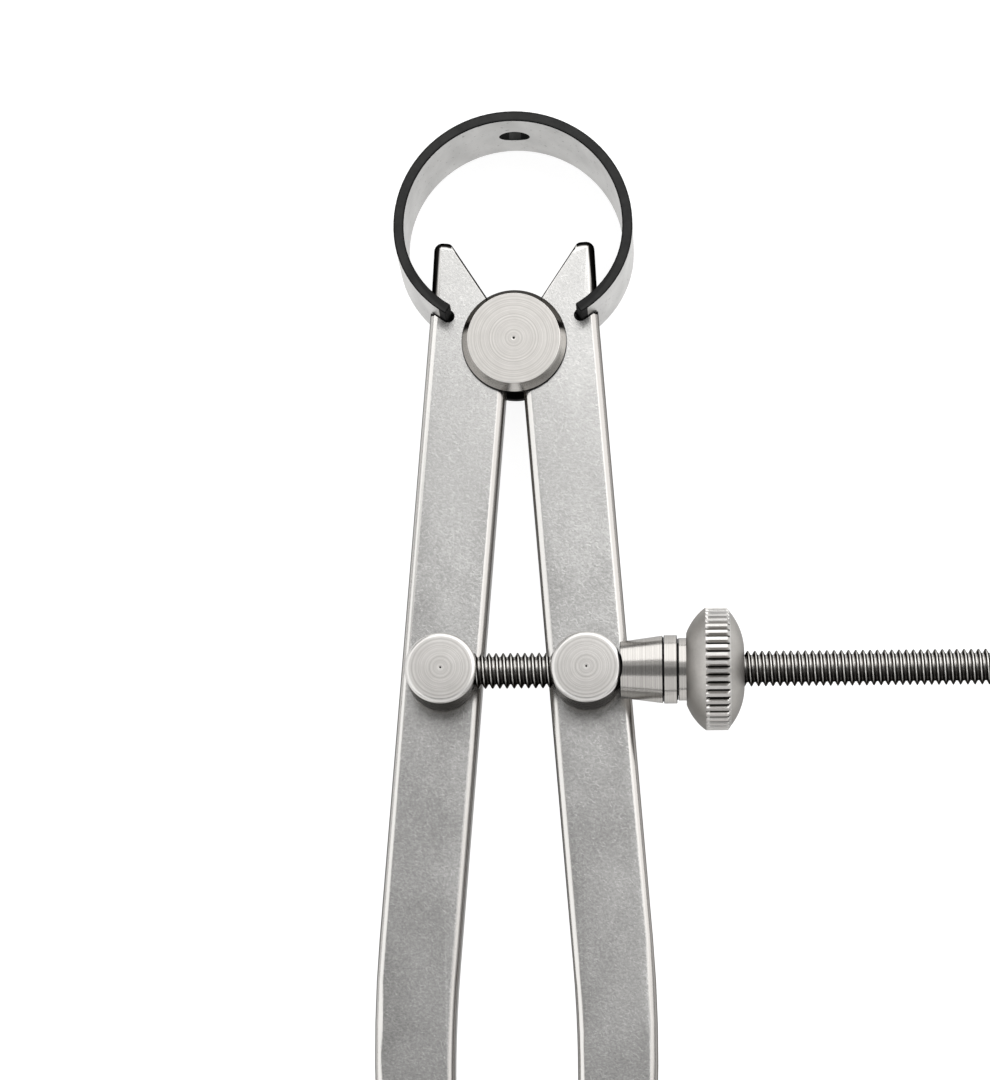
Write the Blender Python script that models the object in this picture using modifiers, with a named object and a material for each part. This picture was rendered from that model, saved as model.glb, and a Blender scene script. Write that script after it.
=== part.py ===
# Flat-leg inside spring caliper with a quick nut, at real size, in metres.
# It lies on its back: X to the right, Y towards the bow spring, Z out of its front faces.
# The origin is the centre of the fulcrum stud's front face, on the axis both legs swing about.

import math

import bmesh
import bpy
from mathutils import Matrix, Vector
from mathutils.kdtree import KDTree

mm = 0.001

# Clearances, the small edge left on turned pieces, and a length that goes past any piece it cuts
running_gap = 0.15 * mm
seat_gap = 0.3 * mm
turned_edge = 0.08 * mm
cutter_reach = 30.0 * mm

# Facets
round_facets = 48
stud_facets = 64
small_facets = 40
hole_facets = 32
corner_step = math.radians(12)
edge_facets = 3
bow_facets = 72
notch_facets = 12
wire_facets = 36
left_dome_facets = 4
right_dome_facets = 5

# Pose: half the angle between the legs' straight edges, as they stand here and closed
rest_half_angle = math.radians(4.75)
closed_half_angle = math.radians(2.75)
smallest_measure = 20.0 * mm

# Legs, in a frame of their own: x outwards from the fulcrum axis, y along the straight edges
leg_thickness = 5.0 * mm
leg_outer_top = 9.81 * mm
leg_outer_low = 9.46 * mm
leg_inner_top = 0.57 * mm
leg_inner_low = 0.40 * mm
leg_reach = 151.25 * mm
bend_start = 71.0 * mm
bend_radius = 153.0 * mm
inner_bend = math.radians(6.0)
edge_rounding = 0.85 * mm
fine_rounding = 0.22 * mm

# Horns above the notches
horn_height = 11.15 * mm
horn_root_height = 2.4 * mm
horn_outer = 10.07 * mm
horn_tip_width = 1.82 * mm
horn_tip_radius = 0.75 * mm
horn_corner_radius = 0.95 * mm
throat_half_angle = math.radians(37.5)

# Feet, turned outwards
ankle_width = 4.2 * mm
heel_height = 3.25 * mm
heel_radius = 6.5 * mm
toe_thickness = 2.3 * mm
toe_radius = 1.05 * mm
instep_height = 4.9 * mm
instep_radius = 4.0 * mm

# Fulcrum stud, a turned spool that both legs seat on
stud_face_radius = 5.27 * mm
stud_base_radius = 6.0 * mm
stud_head_height = 1.9 * mm
stud_core_radius = 3.45 * mm
stud_rear_radius = 5.5 * mm
stud_rear_thickness = 1.25 * mm

# Bow spring, a flat strip bent to a C
bow_width = 27.18 * mm
bow_height = 26.81 * mm
bow_centre = 12.77 * mm
strip_thickness = 1.17 * mm
strip_width = 12.5 * mm
bow_end_angle = math.radians(36.5)
bow_tuck_angle = math.radians(80.0)
bow_end_tuck = 0.64 * mm
bow_tuck_power = 1.5
bow_hole_radius = 1.77 * mm
strip_edge_rounding = 0.12 * mm

# Notches that the bow's ends sit in; each end stands a little past the centre of the round bottom
notch_end_lap = 0.2 * mm
notch_mouth_angle = math.radians(62.0)

# Swivel posts
post_offset = 4.88 * mm
post_drop = 39.15 * mm
post_radius = 4.0 * mm
post_face_radius = 3.58 * mm
post_chamfer_height = 0.42 * mm
post_top = 6.2 * mm
post_underside = 1.1 * mm
post_neck_radius = 2.9 * mm
shank_radius = 2.1 * mm
rivet_radius = 2.75 * mm
rivet_shoulder_radius = 2.34 * mm
rivet_crown_radius = 1.38 * mm
rivet_shoulder_height = 0.35 * mm
rivet_height = 0.5 * mm
washer_radius = 3.5 * mm
washer_thickness = 0.6 * mm
washer_chamfer = 0.15 * mm
post_flat = 3.6 * mm

# Adjusting screw
screw_radius = 2.0 * mm
screw_axis_height = 3.6 * mm
screw_depth_in_post = 2.9 * mm
screw_length = 69.0 * mm
screw_chamfer = 0.5 * mm

# Quick nut, places along the screw from the right post's axis
cone_start = 3.72 * mm
cone_end = 8.45 * mm
cone_small_radius = 3.14 * mm
cone_large_radius = 3.77 * mm
cone_taper_start = 5.5 * mm
end_gap = 0.15 * mm
collar_length = 1.46 * mm
collar_radius = 3.82 * mm
neck_length = 0.88 * mm
neck_radius = 3.5 * mm
knob_radius = 6.83 * mm
knob_face_radius = 4.0 * mm
left_dome_radius = 6.48 * mm
left_dome_start = math.radians(21.0)
left_dome_end = math.radians(53.0)
land_start = 2.15 * mm
land_end = 4.57 * mm
flute_fade = 0.4 * mm
rim_radius = 6.27 * mm
rim_place = 4.95 * mm
right_dome_radius = 7.14 * mm
right_dome_start = math.radians(52.0)
right_dome_end = math.radians(86.0)
knurl_teeth = 46
knurl_depth = 0.42 * mm
half_nut_wall = 0.78 * mm
half_nut_end = 4.1 * mm
half_nut_split = 0.3 * mm
spring_wire_radius = 0.25 * mm
spring_groove_wall = 0.42 * mm
spring_open_half_angle = math.radians(20)

# Worked out from the sizes above
leg_front = -stud_head_height
leg_middle = leg_front - leg_thickness / 2
leg_back = leg_front - leg_thickness
seat_radius = stud_core_radius + running_gap
bore_radius = screw_radius + running_gap
shank_hole_radius = shank_radius + running_gap
collar_start = cone_end + end_gap
neck_start = collar_start + collar_length + end_gap
knob_start = neck_start + neck_length
right_dome_length = right_dome_radius * (math.sin(right_dome_end) - math.sin(right_dome_start))
knob_end = knob_start + rim_place + right_dome_length
half_nut_radius = bore_radius + half_nut_wall
half_nut_bore = half_nut_radius + running_gap
half_nut_length_end = knob_start + half_nut_end


# Scene, collections and materials

def clear_scene():
    for obj in list(bpy.data.objects):
        bpy.data.objects.remove(obj, do_unlink=True)


def new_collection(name):
    group = bpy.data.collections.new(name)
    bpy.context.scene.collection.children.link(group)
    return group


def steel(name, colour, roughness):
    material = bpy.data.materials.new(name)
    material.use_nodes = True
    shader = material.node_tree.nodes["Principled BSDF"]
    shader.inputs["Base Color"].default_value = (*colour, 1.0)
    shader.inputs["Roughness"].default_value = roughness
    shader.inputs["Metallic"].default_value = 1.0
    material.diffuse_color = (*colour, 1.0)
    return material


def add_object(name, mesh, group, material=None):
    obj = bpy.data.objects.new(name, mesh)
    group.objects.link(obj)
    if material:
        mesh.materials.append(material)
    return obj


def add_empty(name, group):
    empty = bpy.data.objects.new(name, None)
    empty.empty_display_size = 5 * mm
    group.objects.link(empty)
    return empty


def hide_cutter(obj):
    obj.hide_render = True
    obj.display_type = "WIRE"


def cut(target, cutter):
    modifier = target.modifiers.new("cut_" + cutter.name, "BOOLEAN")
    modifier.operation = "DIFFERENCE"
    modifier.solver = "EXACT"
    modifier.object = cutter


# Shapes

# Profile points are (radius, height), down the outer side from the top.
# A profile that starts and ends off the axis is closed to a bored ring.
def turned(name, profile, group, material=None, facets=round_facets):
    mesh = bpy.data.meshes.new(name)
    bm = bmesh.new()
    points = [bm.verts.new((radius, 0.0, height)) for radius, height in profile]
    for first, second in zip(points, points[1:]):
        bm.edges.new((first, second))
    if profile[0][0] > 0 and profile[-1][0] > 0:
        bm.edges.new((points[-1], points[0]))
    bm.to_mesh(mesh)
    bm.free()
    obj = add_object(name, mesh, group, material)
    screw = obj.modifiers.new("turn", "SCREW")
    screw.axis = "Z"
    screw.steps = facets
    screw.render_steps = facets
    screw.use_merge_vertices = True
    screw.merge_threshold = 1e-6
    screw.use_smooth_shade = False
    return obj


# The profile of a round cutter between two heights
def rod(radius, low=-cutter_reach, high=cutter_reach):
    return [(0, high), (radius, high), (radius, low), (0, low)]


# Corners are (x, y, radius, edge rounding); each becomes an arc.
# The result is (x, y, rounding of the edge that starts here).
def rounded_outline(corners):
    outline = []
    for index, (x, y, radius, rounding) in enumerate(corners):
        corner = Vector((x, y))
        before = Vector(corners[index - 1][:2])
        after = Vector(corners[(index + 1) % len(corners)][:2])
        rounding_before = corners[index - 1][3]
        if radius == 0:
            outline.append((x, y, rounding))
            continue
        towards_before = (before - corner).normalized()
        towards_after = (after - corner).normalized()
        turn = math.pi - towards_before.angle(towards_after)
        tangent = radius * math.tan(turn / 2)
        start = corner + towards_before * tangent
        bisector = (towards_before + towards_after).normalized()
        centre = corner + bisector * (radius / math.cos(turn / 2))
        side = 1 if (-towards_before).cross(towards_after) > 0 else -1
        steps = max(6, math.ceil(turn / corner_step))
        for step in range(steps + 1):
            share = step / steps
            arm = Matrix.Rotation(side * turn * share, 2) @ (start - centre)
            point = centre + arm
            outline.append((point.x, point.y, rounding_before + (rounding - rounding_before) * share))
    return outline


# A flat piece between z = -thickness / 2 and thickness / 2, its edges rounded as the outline says
def flat_solid(name, outline, thickness, group, material):
    curve = bpy.data.curves.new(name + "_outline", "CURVE")
    curve.dimensions = "2D"
    curve.fill_mode = "BOTH"
    curve.extrude = thickness / 2
    spline = curve.splines.new("POLY")
    spline.points.add(len(outline) - 1)
    for point, (x, y, _) in zip(spline.points, outline):
        point.co = (x, y, 0.0, 1.0)
    spline.use_cyclic_u = True
    drawn = bpy.data.objects.new(name + "_outline", curve)
    group.objects.link(drawn)
    bpy.context.view_layer.update()
    evaluated = drawn.evaluated_get(bpy.context.evaluated_depsgraph_get())
    mesh = bpy.data.meshes.new_from_object(evaluated)
    bpy.data.objects.remove(drawn, do_unlink=True)
    mesh.name = name

    bm = bmesh.new()
    bm.from_mesh(mesh)
    bmesh.ops.remove_doubles(bm, verts=bm.verts, dist=1e-7)
    inside_caps = [edge for edge in bm.edges
                   if all(abs(face.normal.z) > 0.99 for face in edge.link_faces)]
    bmesh.ops.dissolve_edges(bm, edges=inside_caps, use_verts=False)
    bmesh.ops.recalc_face_normals(bm, faces=bm.faces)
    round_edges(bm, outline)
    bm.to_mesh(mesh)
    bm.free()
    obj = add_object(name, mesh, group, material)
    bevel = obj.modifiers.new("rounded edges", "BEVEL")
    bevel.limit_method = "WEIGHT"
    bevel.width = edge_rounding
    bevel.segments = edge_facets
    return obj


# Gives each edge of the two faces its share of the full edge rounding
def round_edges(bm, outline):
    tree = KDTree(len(outline))
    for index, (x, y, _) in enumerate(outline):
        following = outline[(index + 1) % len(outline)]
        tree.insert(((x + following[0]) / 2, (y + following[1]) / 2, 0.0), index)
    tree.balance()
    weight = bm.edges.layers.float.new("bevel_weight_edge")
    for edge in bm.edges:
        first, second = (vert.co for vert in edge.verts)
        if abs(first.z - second.z) < 1e-7:
            middle = (first + second) / 2
            _, index, _ = tree.find((middle.x, middle.y, 0.0))
            edge[weight] = outline[index][2] / edge_rounding


# Legs

# Turns a point of the closed caliper into the leg's own frame
def from_closed(x, y):
    return Matrix.Rotation(-closed_half_angle, 2) @ Vector((x, y))


def leg_corners():
    horn_inner = horn_outer - horn_tip_width
    throat_y = horn_height - (horn_inner - leg_inner_top) / math.tan(throat_half_angle)
    tip_x = smallest_measure / 2
    heel_y = -leg_reach + heel_height
    instep_y = -leg_reach + instep_height
    ankle_line = math.tan(inner_bend)

    inner_corner_y = -bend_start - bend_radius * math.tan(inner_bend / 2)
    inner_corner = Vector((leg_inner_low, inner_corner_y))
    down = inner_corner_y - heel_y
    heel_x = inner_corner.x - down * ankle_line
    heel_closed = Matrix.Rotation(closed_half_angle, 2) @ Vector((heel_x, heel_y))
    heel = Vector((heel_x, heel_y))
    instep = from_closed(heel_closed.x + ankle_width, instep_y)

    outer_slope = (leg_outer_low - instep.x) / (-bend_start - instep.y)
    outer_bend = math.atan(outer_slope)
    outer_corner_y = -bend_start - bend_radius * math.tan(outer_bend / 2)
    toe_bottom = from_closed(tip_x, -leg_reach)
    toe_top = from_closed(tip_x, -leg_reach + toe_thickness)
    full, fine = edge_rounding, fine_rounding
    return [
        (leg_outer_top, horn_root_height, 0, full),
        (horn_outer, horn_height, horn_corner_radius, full),
        (horn_inner, horn_height, horn_tip_radius, fine),
        (leg_inner_top, throat_y, 0, full),
        (inner_corner.x, inner_corner.y, bend_radius, full),
        (heel.x, heel.y, heel_radius, full),
        (toe_bottom.x, toe_bottom.y, toe_radius, full),
        (toe_top.x, toe_top.y, toe_radius, full),
        (instep.x, instep.y, instep_radius, full),
        (leg_outer_low, outer_corner_y, bend_radius, full),
    ]


# side is 1 for the right leg and -1 for the left
def make_leg(name, side, group, cutters, material):
    outline = [(side * x, y, rounding) for x, y, rounding in rounded_outline(leg_corners())]
    leg = flat_solid(name, outline, leg_thickness, group, material)
    leg.location = (0.0, 0.0, leg_middle)
    leg.rotation_euler = (0.0, 0.0, side * rest_half_angle)

    seat = turned(name + "_seat_cutter", rod(seat_radius), cutters)
    hole = turned(name + "_hole_cutter", rod(shank_hole_radius), cutters)
    hole.location = (side * post_offset, -post_drop, 0.0)
    for cutter in (seat, hole):
        cutter.parent = leg
        hide_cutter(cutter)
        cut(leg, cutter)
    for cutter in notch_cutters(name, side, cutters):
        hide_cutter(cutter)
        cut(leg, cutter)
    return leg


# Bow spring

# A point of the strip's middle line, at an angle from the gap's middle, counted to the right.
# Near its ends the strip leaves the ellipse and is tucked in.
def bow_point(angle):
    half_width = bow_width / 2 - strip_thickness / 2
    half_height = bow_height / 2 - strip_thickness / 2
    point = Vector((half_width * math.sin(angle), bow_centre - half_height * math.cos(angle), 0.0))
    outwards = Vector((math.sin(angle) / half_width, -math.cos(angle) / half_height, 0.0)).normalized()
    from_gap = abs(math.remainder(angle, 2 * math.pi))
    share = max(0.0, (bow_tuck_angle - from_gap) / (bow_tuck_angle - bow_end_angle))
    return point - outwards * bow_end_tuck * share ** bow_tuck_power


# A strip along the bow's middle line between two angles
def bow_strip(name, start, end, facets, thickness, width, group, material=None):
    mesh = bpy.data.meshes.new(name)
    bm = bmesh.new()
    line = [bm.verts.new(bow_point(start + (end - start) * step / facets) - Vector((0, 0, width / 2)))
            for step in range(facets + 1)]
    edges = [bm.edges.new(pair) for pair in zip(line, line[1:])]
    raised = bmesh.ops.extrude_edge_only(bm, edges=edges)
    top = [item for item in raised["geom"] if isinstance(item, bmesh.types.BMVert)]
    bmesh.ops.translate(bm, verts=top, vec=(0.0, 0.0, width))
    bm.to_mesh(mesh)
    bm.free()
    strip = add_object(name, mesh, group, material)
    strip.location = (0.0, 0.0, leg_middle)
    wall = strip.modifiers.new("strip", "SOLIDIFY")
    wall.thickness = thickness
    wall.offset = 0.0
    wall.use_even_offset = True
    return strip


def make_bow(group, cutters, material):
    bow = bow_strip("bow_spring", bow_end_angle, 2 * math.pi - bow_end_angle, bow_facets,
                    strip_thickness, strip_width, group, material)
    bevel = bow.modifiers.new("edges", "BEVEL")
    bevel.width = strip_edge_rounding
    bevel.segments = 1
    bevel.angle_limit = math.radians(60)
    hole = turned("bow_hole_cutter", rod(bow_hole_radius, low=0), cutters, facets=hole_facets)
    hole.location = (0.0, bow_centre, leg_middle)
    hole.rotation_euler = (-math.pi / 2, 0.0, 0.0)
    hide_cutter(hole)
    cut(bow, hole)
    return bow


# Cutters for the slot that takes one end of the strip and for its round bottom
def notch_cutters(name, side, cutters):
    slot_width = strip_thickness + 2 * running_gap
    bottom = bow_end_angle + notch_end_lap / (bow_height / 2)
    slot = bow_strip(name + "_notch_cutter", side * bottom, side * notch_mouth_angle, notch_facets,
                     slot_width, cutter_reach, cutters)
    end = turned(name + "_notch_end_cutter", rod(slot_width / 2), cutters, facets=hole_facets)
    end.location = bow_point(side * bottom) + Vector((0.0, 0.0, leg_middle))
    return slot, end


# Fulcrum stud

def make_stud(group, material):
    groove_front = leg_front + seat_gap
    groove_back = leg_back - seat_gap
    back = groove_back - stud_rear_thickness
    profile = [
        (0, 0),
        (stud_face_radius, 0),
        (stud_face_radius + turned_edge, -turned_edge),
        (stud_base_radius, groove_front + turned_edge),
        (stud_base_radius, groove_front),
        (stud_core_radius, groove_front),
        (stud_core_radius, groove_back),
        (stud_rear_radius, groove_back),
        (stud_rear_radius, back + seat_gap),
        (stud_rear_radius - seat_gap, back),
        (0, back),
    ]
    return turned("fulcrum_stud", profile, group, material, facets=stud_facets)


# Swivel posts, with their shanks through the legs and riveted over washers

# Heights are above the leg's front face
def make_post(name, side, pivot, group, material):
    washer_back = -leg_thickness - seat_gap - washer_thickness
    rivet_front = washer_back - running_gap
    chamfer = post_chamfer_height
    profile = [
        (0, post_top),
        (post_face_radius, post_top),
        (post_radius, post_top - chamfer),
        (post_radius, post_underside + chamfer / 2),
        (post_radius - chamfer / 2, post_underside),
        (post_neck_radius, post_underside),
        (post_neck_radius, seat_gap),
        (shank_radius, seat_gap),
        (shank_radius, rivet_front),
        (rivet_radius, rivet_front),
        (rivet_shoulder_radius, rivet_front - rivet_shoulder_height),
        (rivet_crown_radius, rivet_front - rivet_height),
        (0, rivet_front - rivet_height),
    ]
    post = turned(name, profile, group, material)
    post.parent = pivot
    return post


def make_washer(name, pivot, group, material):
    front = -leg_thickness - seat_gap
    back = front - washer_thickness
    profile = [
        (washer_radius, front),
        (washer_radius, back + washer_chamfer),
        (washer_radius - washer_chamfer, back),
        (shank_hole_radius, back),
        (shank_hole_radius, front),
    ]
    washer = turned(name, profile, group, material, facets=small_facets)
    washer.parent = pivot
    return washer


# Turned pieces on the screw: local Z points along the screw, to the right
def lie_on_screw(obj, pivot, start=0.0):
    obj.parent = pivot
    obj.location = (start, 0.0, screw_axis_height)
    obj.rotation_euler = (0.0, math.pi / 2, 0.0)


def bore_posts(left_post, right_post, left_pivot, right_pivot, cutters):
    blind = turned("left_bore_cutter", rod(bore_radius, low=-screw_depth_in_post - running_gap), cutters)
    through = turned("right_bore_cutter", rod(bore_radius), cutters)
    spot_face = turned("spot_face_cutter", rod(cone_small_radius + running_gap, low=post_flat), cutters)
    for cutter, pivot, post in ((blind, left_pivot, left_post), (through, right_pivot, right_post),
                                (spot_face, right_pivot, right_post)):
        lie_on_screw(cutter, pivot)
        hide_cutter(cutter)
        cut(post, cutter)


# Adjusting screw, a plain rod of the thread's major diameter fixed in the left post

def make_screw(pivot, group, material):
    profile = [
        (0, screw_length),
        (screw_radius - screw_chamfer, screw_length),
        (screw_radius, screw_length - screw_chamfer),
        (screw_radius, 0),
        (0, 0),
    ]
    screw = turned("adjusting_screw", profile, group, material, facets=hole_facets)
    lie_on_screw(screw, pivot, start=-screw_depth_in_post)
    return screw


# Quick nut: a tapered cone on the post, and a knob that turns two spring-held half nuts

def make_cone(pivot, group, material):
    profile = [
        (cone_large_radius - turned_edge, cone_end),
        (cone_large_radius, cone_end - turned_edge),
        (cone_small_radius, cone_start + turned_edge),
        (cone_small_radius - turned_edge, cone_start),
        (bore_radius, cone_start),
        (bore_radius, cone_taper_start),
        (bore_radius + running_gap, cone_taper_start),
        (half_nut_bore, cone_end),
    ]
    cone = turned("nut_cone", profile, group, material)
    lie_on_screw(cone, pivot)
    return cone


def make_collar(pivot, group, material):
    end = collar_start + collar_length
    profile = [
        (collar_radius - turned_edge, end),
        (collar_radius, end - turned_edge),
        (collar_radius, collar_start + turned_edge),
        (collar_radius - turned_edge, collar_start),
        (half_nut_bore, collar_start),
        (half_nut_bore, end),
    ]
    collar = turned("nut_collar", profile, group, material)
    lie_on_screw(collar, pivot)
    return collar


# Points of the left dome from the knob's face to the land, and of the right one from the rim to the end
def left_dome():
    points = []
    for step in range(left_dome_facets):
        angle = left_dome_start + (left_dome_end - left_dome_start) * step / left_dome_facets
        rise = math.sin(angle) - math.sin(left_dome_start)
        run = math.cos(left_dome_start) - math.cos(angle)
        points.append((knob_face_radius + left_dome_radius * rise, knob_start + left_dome_radius * run))
    return points


def right_dome():
    points = []
    for step in range(right_dome_facets + 1):
        angle = right_dome_start + (right_dome_end - right_dome_start) * step / right_dome_facets
        drop = math.cos(right_dome_start) - math.cos(angle)
        run = math.sin(angle) - math.sin(right_dome_start)
        points.append((rim_radius - right_dome_radius * drop,
                       knob_start + rim_place + right_dome_radius * run))
    return points


# The knob's outside, from its right end back to its neck
def knob_profile():
    return [
        (0, knob_end),
        *reversed(right_dome()),
        (knob_radius, knob_start + land_end),
        (knob_radius, knob_start + land_start + flute_fade),
        (knob_radius, knob_start + land_start),
        *reversed(left_dome()),
        (neck_radius, knob_start),
        (neck_radius, neck_start + turned_edge),
        (neck_radius - turned_edge, neck_start),
        (0, neck_start),
    ]


# Room for the half nuts, with a groove for their spring, and the screw's way out
def knob_bore_profile():
    groove_radius = half_nut_bore + spring_groove_wall
    groove_half = spring_wire_radius + running_gap
    groove_middle = knob_start + half_nut_end / 2
    bore_end = half_nut_length_end + running_gap
    return [
        (0, cutter_reach),
        (bore_radius, cutter_reach),
        (bore_radius, bore_end),
        (half_nut_bore, bore_end),
        (half_nut_bore, groove_middle + groove_half),
        (groove_radius, groove_middle + groove_half),
        (groove_radius, groove_middle - groove_half),
        (half_nut_bore, groove_middle - groove_half),
        (half_nut_bore, collar_start),
        (0, collar_start),
    ]


# Two facets for each tooth: every second line of the land is sunk to the flutes' depth
def make_knob(pivot, group, cutters, material):
    mesh = bpy.data.meshes.new("knurled_nut")
    bm = bmesh.new()
    points = [bm.verts.new((radius, 0.0, place)) for radius, place in knob_profile()]
    edges = [bm.edges.new(pair) for pair in zip(points, points[1:])]
    bmesh.ops.spin(bm, geom=points + edges, axis=(0, 0, 1), cent=(0, 0, 0),
                   angle=2 * math.pi, steps=2 * knurl_teeth, use_merge=True)
    bmesh.ops.remove_doubles(bm, verts=bm.verts, dist=1e-7)
    bmesh.ops.recalc_face_normals(bm, faces=bm.faces)
    sunk_places = (knob_start + land_start + flute_fade, knob_start + land_end)
    for vert in bm.verts:
        x, y, place = vert.co
        in_flutes = any(abs(place - sunk) < 1e-6 for sunk in sunk_places)
        line = round(math.atan2(y, x) / (math.pi / knurl_teeth))
        if in_flutes and line % 2:
            scale = (knob_radius - knurl_depth) / knob_radius
            vert.co = (x * scale, y * scale, place)
    bm.to_mesh(mesh)
    bm.free()
    knob = add_object("knurled_nut", mesh, group, material)
    bore = turned("knob_bore_cutter", knob_bore_profile(), cutters, facets=small_facets)
    for obj in (knob, bore):
        lie_on_screw(obj, pivot)
    hide_cutter(bore)
    cut(knob, bore)
    return knob


# The nose's taper runs parallel to the cone's
def half_nut_profile():
    nose = cone_taper_start + seat_gap
    groove_radius = half_nut_radius - spring_groove_wall
    groove_half = spring_wire_radius + running_gap
    groove_middle = knob_start + half_nut_end / 2
    return [
        (half_nut_radius, half_nut_length_end),
        (half_nut_radius, groove_middle + groove_half),
        (groove_radius, groove_middle + groove_half),
        (groove_radius, groove_middle - groove_half),
        (half_nut_radius, groove_middle - groove_half),
        (half_nut_radius, cone_end),
        (bore_radius + running_gap / 2, nose),
        (bore_radius - running_gap / 4, nose),
        (bore_radius - running_gap / 4, half_nut_length_end),
    ]


def make_half_nut(name, side, pivot, group, cutters, material):
    half = turned(name, half_nut_profile(), group, material, facets=small_facets)
    lie_on_screw(half, pivot)
    mesh = bpy.data.meshes.new(name + "_cutter")
    bm = bmesh.new()
    bmesh.ops.create_cube(bm, size=1.0)
    bmesh.ops.scale(bm, verts=bm.verts, vec=(cutter_reach, cutter_reach, cutter_reach))
    bm.to_mesh(mesh)
    bm.free()
    other_half = add_object(name + "_cutter", mesh, cutters)
    other_half.parent = pivot
    other_half.location = (knob_start, side * (half_nut_split - cutter_reach) / 2, screw_axis_height)
    hide_cutter(other_half)
    cut(half, other_half)
    return half


# An open wire ring in the groove round the half nuts
def make_nut_spring(pivot, group, material):
    ring_radius = half_nut_radius + running_gap / 2
    curve = bpy.data.curves.new("nut_spring", "CURVE")
    curve.dimensions = "3D"
    curve.bevel_depth = spring_wire_radius
    curve.bevel_resolution = 1
    curve.use_fill_caps = True
    spline = curve.splines.new("POLY")
    spline.points.add(wire_facets)
    for step, point in enumerate(spline.points):
        closed_angle = 2 * math.pi - 2 * spring_open_half_angle
        angle = spring_open_half_angle + closed_angle * step / wire_facets
        point.co = (ring_radius * math.cos(angle), ring_radius * math.sin(angle), 0.0, 1.0)
    curve.materials.append(material)
    ring = bpy.data.objects.new("nut_spring", curve)
    group.objects.link(ring)
    lie_on_screw(ring, pivot, start=knob_start + half_nut_end / 2)
    return ring


# Assembly

def make_pivot(name, leg, side, group):
    pivot = add_empty(name, group)
    pivot.parent = leg
    pivot.location = (side * post_offset, -post_drop, leg_front - leg_middle)
    pivot.rotation_euler = (0.0, 0.0, -side * rest_half_angle)
    return pivot


def build():
    clear_scene()
    group = new_collection("spring_caliper")
    cutters = new_collection("cutters")

    ground_steel = steel("ground_steel", (0.60, 0.60, 0.59), 0.38)
    spring_steel = steel("spring_steel", (0.55, 0.55, 0.53), 0.35)
    turned_steel = steel("turned_steel", (0.66, 0.65, 0.63), 0.30)
    thread_steel = steel("thread_steel", (0.26, 0.25, 0.24), 0.35)
    satin_steel = steel("satin_steel", (0.58, 0.57, 0.55), 0.45)

    left_leg = make_leg("left_leg", -1, group, cutters, ground_steel)
    right_leg = make_leg("right_leg", 1, group, cutters, ground_steel)
    make_bow(group, cutters, spring_steel)
    make_stud(group, turned_steel)

    left_pivot = make_pivot("left_post_axis", left_leg, -1, group)
    right_pivot = make_pivot("right_post_axis", right_leg, 1, group)
    left_post = make_post("left_post", -1, left_pivot, group, turned_steel)
    right_post = make_post("right_post", 1, right_pivot, group, turned_steel)
    bore_posts(left_post, right_post, left_pivot, right_pivot, cutters)
    make_washer("left_post_washer", left_pivot, group, turned_steel)
    make_washer("right_post_washer", right_pivot, group, turned_steel)

    make_screw(left_pivot, group, thread_steel)
    make_cone(right_pivot, group, turned_steel)
    make_collar(right_pivot, group, turned_steel)
    make_knob(right_pivot, group, cutters, satin_steel)
    make_half_nut("half_nut_upper", 1, right_pivot, group, cutters, turned_steel)
    make_half_nut("half_nut_lower", -1, right_pivot, group, cutters, turned_steel)
    make_nut_spring(right_pivot, group, spring_steel)


build()
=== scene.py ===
# Flat-leg spring caliper: finishes, fine detail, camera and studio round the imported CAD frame.
# Lengths are written in mm and turned to metres as each mesh is finished.
import math

import bmesh
import bpy
from mathutils import Matrix, Vector


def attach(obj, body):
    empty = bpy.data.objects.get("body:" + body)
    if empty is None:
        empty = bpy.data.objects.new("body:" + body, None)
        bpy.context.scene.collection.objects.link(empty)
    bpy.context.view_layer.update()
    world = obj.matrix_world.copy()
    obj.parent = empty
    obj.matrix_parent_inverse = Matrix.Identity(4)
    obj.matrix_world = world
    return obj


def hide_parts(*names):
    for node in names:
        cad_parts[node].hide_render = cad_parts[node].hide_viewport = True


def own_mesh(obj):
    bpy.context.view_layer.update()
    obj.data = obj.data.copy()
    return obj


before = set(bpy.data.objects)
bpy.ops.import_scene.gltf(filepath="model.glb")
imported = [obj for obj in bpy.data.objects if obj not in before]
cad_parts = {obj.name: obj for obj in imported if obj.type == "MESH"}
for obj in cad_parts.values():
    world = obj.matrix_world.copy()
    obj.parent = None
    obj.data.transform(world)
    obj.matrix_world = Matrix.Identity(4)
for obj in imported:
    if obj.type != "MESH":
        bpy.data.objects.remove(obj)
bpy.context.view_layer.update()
print("frame loaded:", len(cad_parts), "CAD nodes")

mm = 0.001
farAway = 1e4  # a pattern size in mm so long that the pattern doesn't change that way

# Axes the pieces turn about, in mm
axes = {
    "leftPost": (-8.1052, -38.6114),
    "rightPost": (8.1052, -38.6114),
    "screwHeight": 1.7,
    "legFront": -1.9,
    "floor": -10.66,
}
feetwards, bowwards, screwwards = (0.0, -1.0, 0.0), (0.0, 1.0, 0.0), (1.0, 0.0, 0.0)

# The bow's middle line is an ellipse round this centre, and the notches lie along it
bow = {
    "centreY": 12.77,
    "halfWidth": 13.005,
    "halfHeight": 12.82,
    "edge": 0.95,         # a face that leans more than this is the strip's edge
    "corner": 0.30,       # and one between the two is its rounded corner
    "holeReach": 2.2,
    "wallTurn": 0.7,
    "blackEnd": 41.5,     # degrees from the gap's middle; nearer the gap than this the strip is black
    "blackRim": "#060606",
    "rimShare": 0.85,
}


# Materials

def linear(hexColour):
    channels = [int(hexColour[start:start + 2], 16) / 255 for start in (1, 3, 5)]
    return [c / 12.92 if c <= 0.04045 else ((c + 0.055) / 1.055) ** 2.4 for c in channels] + [1.0]


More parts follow.
